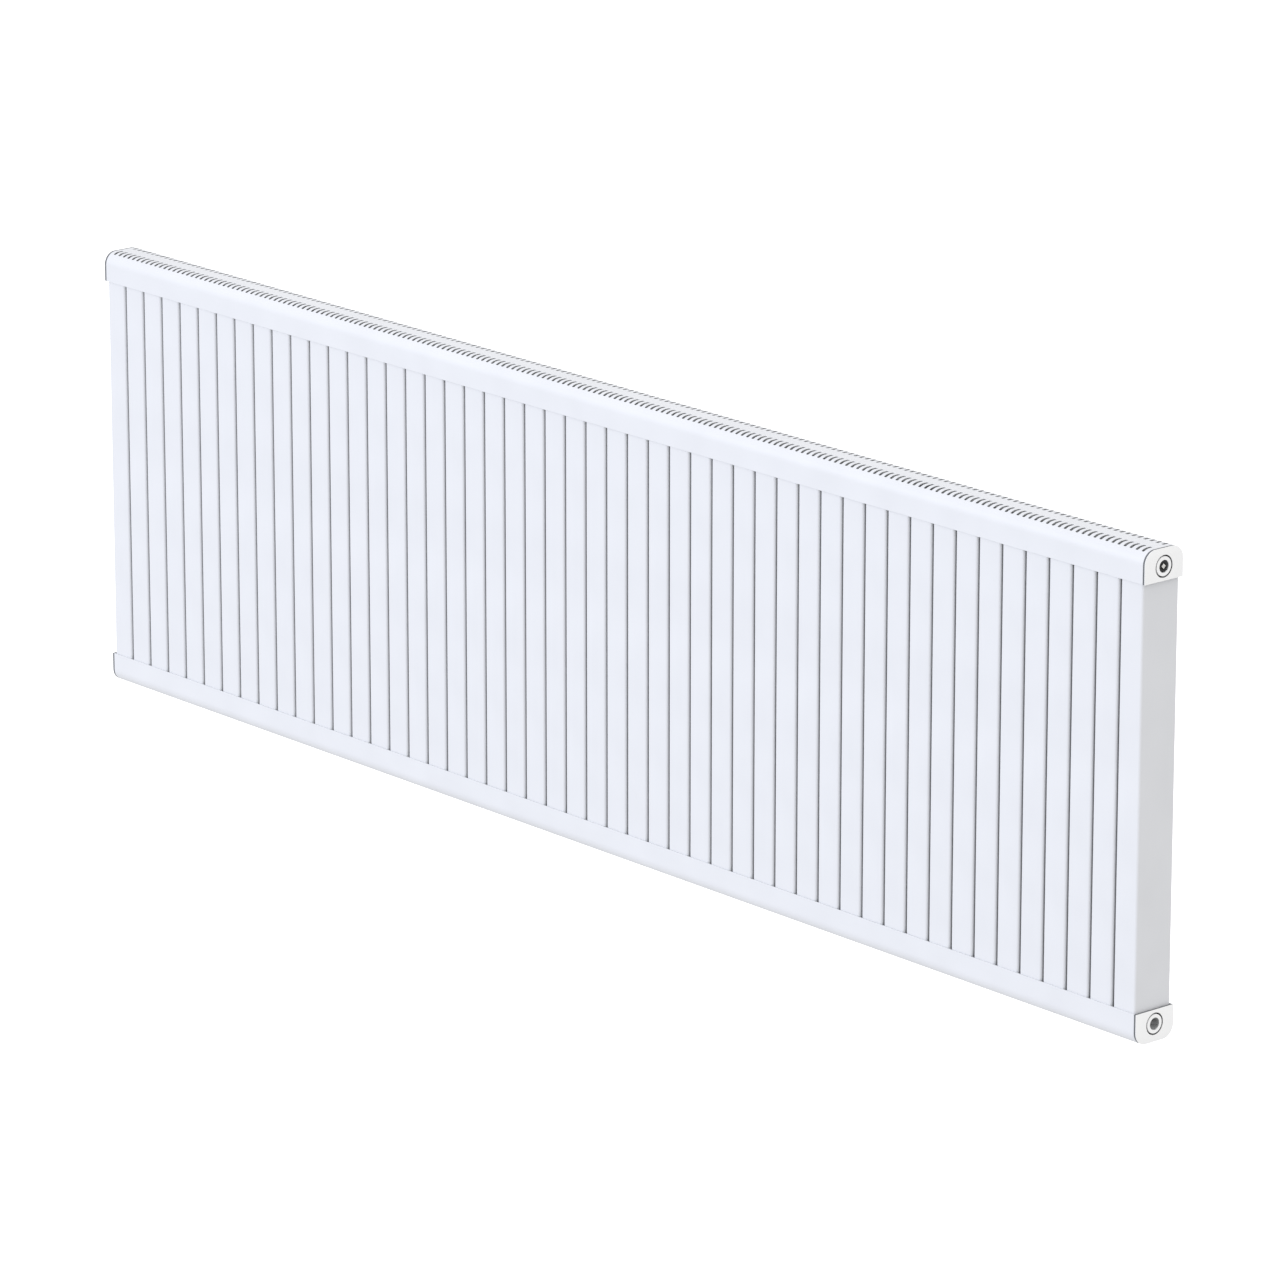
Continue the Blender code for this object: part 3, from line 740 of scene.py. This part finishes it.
class RADIATOR_OT_bottom_header(bpy.types.Operator):
    """Bottom header cover with long air inlets in its underside"""
    bl_idname = "radiator.bottom_header"
    bl_label = "Bottom header"

    def execute(self, context):
        sizes = context.scene.radiator_headers
        section = HeaderSection("bottom_cover", sizes.corner)
        clear = sizes.edge + sizes.inlet_corner / 10
        reach = (sizes.corner + clear, (section.depth - sizes.inlet_rib) / 2)
        count = round((section.high.x - section.low.x) / sizes.inlet_pitch)
        centres = [(index - (count - 1) / 2) * sizes.inlet_pitch for index in range(count)]
        add_cover("bottom_header_cover", "bottom_cover", sizes, section, reach, centres, sizes.inlet_width,
                  sizes.inlet_corner)
        return {"FINISHED"}


# ------------------------ end caps

def d_loop(node, corner, inset, along):
    """Closed D outline of an end cap or gasket, inset all round, at one X."""
    low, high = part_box(node)
    way, edge = header_base(node)
    centre = (low.y + high.y) / 2
    half = (high.y - low.y) / 2
    level = high.z - low.z - corner
    points = [(-(half - inset), inset)]
    points += arc((-(half - corner), level), corner - inset, 180, 90, 16)
    points += [(-depth, up) for depth, up in reversed(points)]
    return [(along, centre + depth, edge + way * up) for depth, up in points]


def port_place(header, end):
    """Port frame: +X points out of the port, zero on the boss face."""
    low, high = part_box(f"port_boss_{header}_{end}")
    side = ENDS[end]
    face = high.x if side > 0 else low.x
    turn = Matrix.Rotation(0 if side > 0 else math.pi, 4, "Z")
    return Matrix.Translation((face, (low.y + high.y) / 2, (low.z + high.z) / 2)) @ turn


def ring_at(along, radius, centre):
    return [(along, centre.y + x, centre.z + z) for x, z in circle(radius)]


class RADIATOR_OT_end_caps(bpy.types.Operator):
    """Flat D-shaped end caps with their inner tongues, and the grey gaskets behind them"""
    bl_idname = "radiator.end_caps"
    bl_label = "End caps"

    def execute(self, context):
        sizes = context.scene.radiator_caps
        headers = context.scene.radiator_headers
        for header in HEADERS:
            cover_low, cover_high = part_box(f"{header}_cover")
            for end, side in ENDS.items():
                name = f"end_cap_{header}_{end}"
                low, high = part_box(name)
                face = high.x if side > 0 else low.x
                port = port_place(header, end).translation
                back = face - side * sizes.plate
                outside = [d_loop(name, headers.corner, 0, back)]
                for turn in (0, 30, 60, 90):
                    angle = math.radians(turn)
                    outside.append(d_loop(name, headers.corner, sizes.edge * (1 - math.cos(angle)),
                                          face - side * sizes.edge * (1 - math.sin(angle))))
                hole = [ring_at(face, sizes.hole_radius + sizes.hole_edge, port),
                        ring_at(face - side * sizes.hole_edge, sizes.hole_radius, port),
                        ring_at(back, sizes.hole_radius, port)]
                bm = bmesh.new()
                block(bm, outside, [hole])
                self.add_tongues(bm, name, back, side, sizes, headers)
                add_piece(f"cap_{header}_{end}", bm, "white_cap", replaces=[name])

                lap = cover_high.x - sizes.seal_lap if side > 0 else cover_low.x + sizes.seal_lap
                near, far = sorted((lap, back - side * sizes.seal_play))
                outer = sizes.seal_shrink
                inner = headers.wall + outer
                bm = bmesh.new()
                block(bm, [d_loop(name, headers.corner, outer, along) for along in (near, far)],
                      [[d_loop(name, headers.corner, inner, along) for along in (far, near)]])
                add_piece(f"gasket_{header}_{end}", bm, "grey_gasket",
                          replaces=[f"cap_gasket_{header}_{end}"])
        return {"FINISHED"}

    def add_tongues(self, bm, name, back, side, sizes, headers):
        """Spring tongues that hold the cap inside its header."""
        low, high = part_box(name)
        way, edge = header_base(name)
        tip = low.x if side > 0 else high.x
        root = back + side * sizes.tongue_sink
        thickness, height = sizes.tongue_thickness, sizes.tongue_height
        centre_z = edge + way * (high.z - low.z - headers.corner - height / 2)
        for face, wall in ((-1, low.y), (1, high.y)):
            centre_y = wall - face * (headers.wall + sizes.tongue_play + thickness / 2)
            outline = rounded_box(thickness, height, sizes.tongue_corner, 2, (centre_y, centre_z))
            block(bm, [[(x, y, z) for y, z in outline] for x in (root, tip)])


# ------------------------ ports

def port_span(node, place):
    """Back, front and radius of a CAD node in a port's frame."""
    low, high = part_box(node)
    back, front = sorted(place[0][0] * (along - place.translation.x) for along in (low.x, high.x))
    return back, front, (high.z - low.z) / 2


def across(place, along, outline):
    """A flat outline set across the port's axis."""
    return [place @ Vector((along, x, z)) for x, z in outline]


def turned(profile, place, steps=ROUND, pocket=None):
    """Solid turned about the port's axis from (along, radius) points, back to front."""
    bm = bmesh.new()
    block(bm, [across(place, along, circle(radius, steps)) for along, radius in profile], pocket=pocket)
    return bm


def turned_ring(profile, place, steps=ROUND):
    """Closed ring turned about the port's axis from a closed (along, radius) profile."""
    bm = bmesh.new()
    loops = [[bm.verts.new(point) for point in across(place, along, circle(radius, steps))]
             for along, radius in profile]
    join_loops(bm, loops + loops[:1])
    return bm


def threaded_insert(ports, front, back, place):
    """Sleeve with a real helical pipe thread inside and a lead-in at each end."""
    rows_per_turn = 8
    rows = int((front - back) / ports.thread_pitch * rows_per_turn)
    depth = ports.major_radius - ports.minor_radius
    rings = [(along, [ports.insert_radius] * ROUND) for along in (front, back)]
    for row in range(rows + 1):
        along = back + (front - back) * row / rows
        lead_in = ports.major_radius + ports.thread_lead - min(along - back, front - along)
        radii = []
        for step in range(ROUND):
            phase = (along / ports.thread_pitch - step / ROUND) % 1
            rise = min(1.0, max(0.0, 1.25 * abs(2 * phase - 1) - 0.125))
            radii.append(max(ports.minor_radius + depth * rise, lead_in))
        rings.append((along, radii))
    bm = bmesh.new()
    loops = []
    for along, radii in rings:
        outline = [(radius * x, radius * z) for radius, (x, z) in zip(radii, circle(1))]
        loops.append([bm.verts.new(point) for point in across(place, along, outline)])
    join_loops(bm, loops + loops[:1])
    return bm


class RADIATOR_OT_ports(bpy.types.Operator):
    """Four pipe bosses with threaded inserts, and the rubber rings round them"""
    bl_idname = "radiator.ports"
    bl_label = "Pipe ports"

    def execute(self, context):
        ports = context.scene.radiator_ports
        caps = context.scene.radiator_caps
        for header in HEADERS:
            for end in ENDS:
                node = f"port_boss_{header}_{end}"
                place = port_place(header, end)
                back = port_span(node, place)[0]
                socket_front, socket_radius = port_span(f"collector_end_{header}_{end}", place)[1:]
                shoulder = socket_front + ports.clearance
                spigot = socket_radius - ports.collector_wall - ports.clearance
                radius = ports.boss_radius
                soft = ports.boss_edge
                thread_front = -ports.mouth_depth
                profile = [(0, ports.mouth_radius), (0, radius - soft), (-soft, radius), (shoulder, radius),
                           (shoulder, spigot), (back, spigot), (back, ports.insert_radius),
                           (thread_front, ports.insert_radius), (thread_front, ports.minor_radius + soft),
                           (-2 * soft, ports.minor_radius + soft)]
                add_piece(f"pipe_boss_{header}_{end}", turned_ring(profile, place), "white_cap",
                          replaces=[node])
                # the thread's darker grey is partly painted shade of the bore
                add_piece(f"thread_insert_{header}_{end}", threaded_insert(ports, thread_front, back, place),
                          "mill_aluminium", replaces=[node], finish="thread", sharp=50)

                ring_node = f"boss_ring_{header}_{end}"
                ring_back, ring_front, _ = port_span(ring_node, place)
                outer = caps.hole_radius - ports.clearance
                inner = radius + ports.clearance
                half = (outer - inner) / 2
                lip = arc((min(ring_front, -ports.ring_sink) - half, (outer + inner) / 2), half, 90, -90, 8)
                ring = turned_ring([(ring_back, outer), *lip, (ring_back, inner)], place)
                add_piece(f"port_ring_{header}_{end}", ring, "black_rubber", replaces=[ring_node])
        return {"FINISHED"}


def oring(name, node, place, body, ports):
    """O-ring as a torus in its CAD node's place."""
    back, front, radius = port_span(node, place)
    tube = ports.oring_section / 2
    section = circle(tube, 12, ((back + front) / 2, radius - tube))
    add_piece(name, turned_ring(section, place, 48), "black_rubber", body=body, replaces=[node])


def bush(front, back, radius, seal_back, ports):
    """Outside of a bush from back to front, with chamfered ends and one O-ring groove."""
    soft = ports.chamfer
    groove_back = seal_back - ports.clearance
    floor = radius - ports.oring_section - ports.clearance
    groove_front = groove_back + ports.oring_section + 2 * ports.clearance
    return [(back, radius - soft), (back + soft, radius), (groove_back, radius), (groove_back, floor),
            (groove_front, floor), (groove_front, radius), (front - soft, radius), (front, radius - soft)]


class RADIATOR_OT_air_vent(bpy.types.Operator):
    """Air vent in the top right port: bush, bleed screw with its key square, and both O-rings"""
    bl_idname = "radiator.air_vent"
    bl_label = "Air vent"

    def execute(self, context):
        ports = context.scene.radiator_ports
        place = port_place("top", "right")
        back, body_front, radius = port_span("vent_body", place)
        tip = port_span("bleed_screw", place)[0]
        ring_back, _, stem_radius = port_span("bleed_screw_o_ring", place)
        front = max(body_front, -ports.bush_sink)
        bore = stem_radius + ports.clearance
        soft = ports.chamfer
        # the seat's cone runs parallel to the needle's, half a clearance clear of it when shut
        seat = tip + ports.seat_radius - ports.needle_radius - ports.clearance / 2
        profile = bush(front, back, radius, port_span("vent_body_o_ring", place)[0], ports)
        profile += [(front, bore + soft), (front - soft, bore), (seat + bore - ports.seat_radius, bore),
                    (seat, ports.seat_radius), (back, ports.seat_radius)]
        # the bush of nickel-plated brass is drawn near black: painted shade of the deep port
        add_piece("vent_bush", turned_ring(profile, place), "nickel_plated_brass", replaces=["vent_body"],
                  finish="vent_bush_painted_shade")
        oring("vent_bush_o_ring", "vent_body_o_ring", place, BODY, ports)

        shoulder = tip + stem_radius - ports.needle_radius
        profile = [(tip, ports.needle_radius), (shoulder, stem_radius)]
        profile += bush(body_front, shoulder + soft, stem_radius, ring_back, ports)[1:]
        add_piece("bleed_spindle_stem", turned(profile, place, 48), "nickel_plated_brass",
                  body="bleed_spindle", replaces=["bleed_screw"])
        self.add_key(place, body_front, ports)
        oring("bleed_spindle_o_ring", "bleed_screw_o_ring", place, "bleed_seal", ports)
        return {"FINISHED"}

    def add_key(self, place, root, ports):
        """Square that the bleed key turns, standing on its corner, with a centre dimple."""
        tilted = place @ Matrix.Rotation(math.radians(45), 4, "X")
        top = -ports.key_setback
        edge, bevel = ports.key_edge, ports.key_bevel
        loops = []
        for along, inset in ((root - ports.key_root, 0), (top - edge, 0), (top - bevel, bevel), (top, edge)):
            width = ports.key_square - 2 * inset
            loops.append(across(tilted, along, rounded_box(width, width, edge, 3)))
        dimple = []
        for turn in (0, 25, 50, 75):
            angle = math.radians(turn)
            along = top - ports.dimple_radius * math.sin(angle)
            dimple.append(across(tilted, along, circle(ports.dimple_radius * math.cos(angle), 24)))
        bm = bmesh.new()
        block(bm, loops, pocket=dimple)
        add_piece("bleed_key_square", bm, "nickel_plated_brass", body="bleed_spindle",
                  replaces=["bleed_screw"])


class RADIATOR_OT_blanking_plug(bpy.types.Operator):
    """Blanking plug with a hexagon socket in the bottom left port"""
    bl_idname = "radiator.blanking_plug"
    bl_label = "Blanking plug"

    def execute(self, context):
        ports = context.scene.radiator_ports
        place = port_place("bottom", "left")
        back, front, radius = port_span("blanking_plug", place)
        seal_back = port_span("blanking_plug_o_ring", place)[0]
        soft = ports.chamfer
        corner = ports.socket_flats / 2 / math.cos(math.radians(30))
        socket = ((front, corner + soft), (front - soft, corner), (front - ports.socket_depth, corner))
        pocket = [across(place, along, circle(size, 6)) for along, size in socket]
        plug = turned(bush(front, back, radius, seal_back, ports), place, pocket=pocket)
        add_piece("port_plug", plug, "nickel_plated_brass", replaces=["blanking_plug"])
        oring("port_plug_o_ring", "blanking_plug_o_ring", place, BODY, ports)
        return {"FINISHED"}


class RADIATOR_OT_hidden_metal(bpy.types.Operator):
    """Finishes of the collector tubes and the cover clips inside the headers"""
    bl_idname = "radiator.hidden_metal"
    bl_label = "Collectors and clips"

    def execute(self, context):
        for name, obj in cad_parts.items():
            if "collector" in name:
                finish = finish_of("mill_aluminium")
            elif name.startswith("cover_clip_"):
                finish = finish_of("spring_steel")
            else:
                continue
            for slot in obj.material_slots:
                slot.material = finish
        return {"FINISHED"}


# ------------------------ studio

class RADIATOR_OT_studio(bpy.types.Operator):
    """White floor, white room light that is weaker from below, one front softbox and the camera"""
    bl_idname = "radiator.studio"
    bl_label = "Studio"

    def execute(self, context):
        studio = context.scene.radiator_studio
        finishes = context.scene.radiator_finishes
        bm = bmesh.new()
        bmesh.ops.create_grid(bm, x_segments=4, y_segments=4, size=studio.floor_size)
        mesh = bpy.data.meshes.new("studio_floor")
        bm.to_mesh(mesh)
        bm.free()
        mesh.materials.append(floor_paper(finishes, studio.floor_glow))
        floor = bpy.data.objects.new("studio_floor", mesh)
        floor.location.z = CAD_BOX[0].z - studio.floor_drop
        floor.visible_diffuse = floor.visible_glossy = floor.visible_shadow = False
        context.scene.collection.objects.link(floor)

        world = bpy.data.worlds.new("white_room")
        context.scene.world = world
        world.use_nodes = True
        tree = world.node_tree
        way = add_node(tree, "ShaderNodeTexCoord").outputs["Generated"]
        height = add_node(tree, "ShaderNodeSeparateXYZ", links={"Vector": way}).outputs["Z"]
        glow = add_node(tree, "ShaderNodeMapRange", settings={"interpolation_type": "SMOOTHSTEP"},
                        values={"From Min": -studio.horizon, "From Max": studio.horizon,
                                "To Min": studio.ground, "To Max": studio.sky},
                        links={"Value": height}).outputs["Result"]
        room = tree.nodes["Background"]
        room.inputs["Color"].default_value = (1, 1, 1, 1)
        tree.links.new(glow, room.inputs["Strength"])

        centre = (CAD_BOX[0] + CAD_BOX[1]) / 2
        softbox = bpy.data.lights.new("front_softbox", "AREA")
        softbox.shape = "RECTANGLE"
        softbox.size, softbox.size_y = studio.softbox_size
        softbox.energy = studio.key_power
        softbox.color = studio.key_colour
        lamp = bpy.data.objects.new("front_softbox", softbox)
        lamp.location = centre + Vector(studio.softbox_place)
        lamp.rotation_euler = (centre - lamp.location).to_track_quat("-Z", "Y").to_euler()
        context.scene.collection.objects.link(lamp)

        camera = bpy.data.cameras.new("camera")
        camera.lens = studio.lens
        camera.sensor_width = 36.0
        camera.clip_end = 200.0
        eye = bpy.data.objects.new("camera", camera)
        level = math.cos(studio.elevation)
        away = Vector((math.sin(studio.azimuth) * level, -math.cos(studio.azimuth) * level,
                       math.sin(studio.elevation)))
        eye.location = Vector(studio.aim) + studio.distance * away
        eye.rotation_euler = (-away).to_track_quat("-Z", "Y").to_euler()
        context.scene.collection.objects.link(eye)
        context.scene.camera = eye
        context.scene.view_settings.view_transform = "Standard"
        return {"FINISHED"}


# ------------------------ add-on

OPERATORS = (
    RADIATOR_OT_slats,
    RADIATOR_OT_top_header,
    RADIATOR_OT_bottom_header,
    RADIATOR_OT_end_caps,
    RADIATOR_OT_ports,
    RADIATOR_OT_air_vent,
    RADIATOR_OT_blanking_plug,
    RADIATOR_OT_hidden_metal,
    RADIATOR_OT_studio,
)


class RADIATOR_PT_build(bpy.types.Panel):
    """Sizes, finishes and build steps of the radiator"""
    bl_idname = "RADIATOR_PT_build"
    bl_label = "Radiator"
    bl_space_type = "VIEW_3D"
    bl_region_type = "UI"
    bl_category = "Radiator"

    def draw(self, context):
        for operator in OPERATORS:
            self.layout.operator(operator.bl_idname)
        for name, group in GROUPS.items():
            box = self.layout.box()
            for prop in group.__annotations__:
                box.prop(getattr(context.scene, name), prop)


def register():
    for cls in (*GROUPS.values(), *OPERATORS, RADIATOR_PT_build):
        bpy.utils.register_class(cls)
    for name, group in GROUPS.items():
        setattr(bpy.types.Scene, name, PointerProperty(type=group))


def unregister():
    for name in GROUPS:
        delattr(bpy.types.Scene, name)
    for cls in (RADIATOR_PT_build, *reversed(OPERATORS), *reversed(list(GROUPS.values()))):
        bpy.utils.unregister_class(cls)


def main():
    register()
    for operator in OPERATORS:
        group, step = operator.bl_idname.split(".")
        getattr(getattr(bpy.ops, group), step)()


if __name__ == "__main__":
    main()
